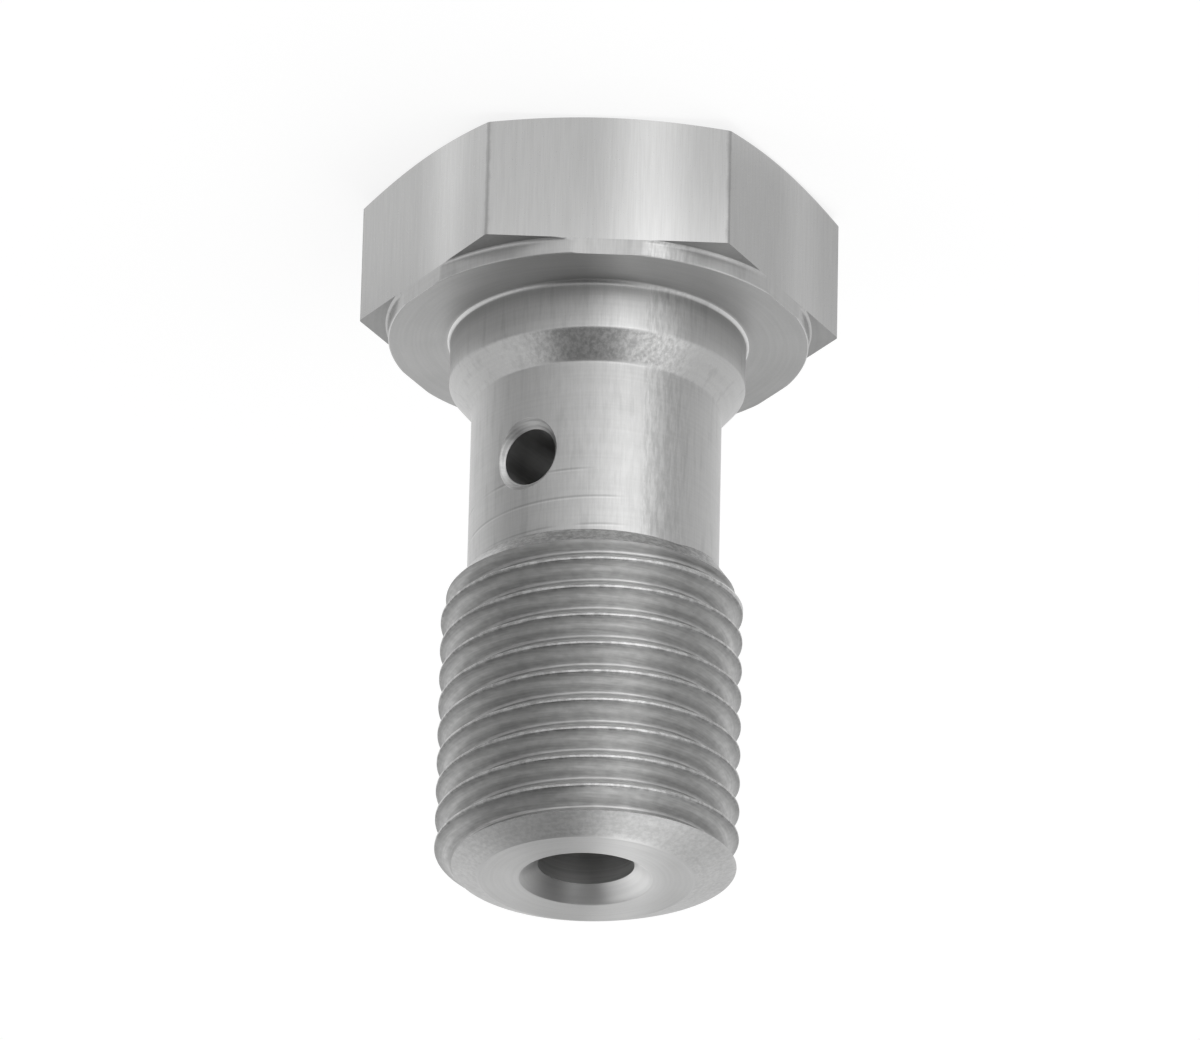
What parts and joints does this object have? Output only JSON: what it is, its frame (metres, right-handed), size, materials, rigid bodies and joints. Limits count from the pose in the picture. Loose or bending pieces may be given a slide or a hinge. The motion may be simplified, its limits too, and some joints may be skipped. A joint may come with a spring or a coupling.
{
  "type": "banjo bolt",
  "caption": "Hexagon head banjo bolt with a fine thread, a centring collar, and a blind axial bore that meets a cross hole to carry fluid through a banjo eye.",
  "frame": {"origin": "centre of the head's flat top face, which is the face that the bolt stands on", "axes": "+Z along the bolt's axis from the head towards the threaded end; two flats of the hexagon face -Y and +Y, two of its corners point along -X and +X"},
  "size_m": [0.0158, 0.0138, 0.0243],
  "materials": {
    "steel": "satin"
  },
  "bodies": {
    "root": {"banjo_bolt": "steel"}
  },
  "joints": []
}
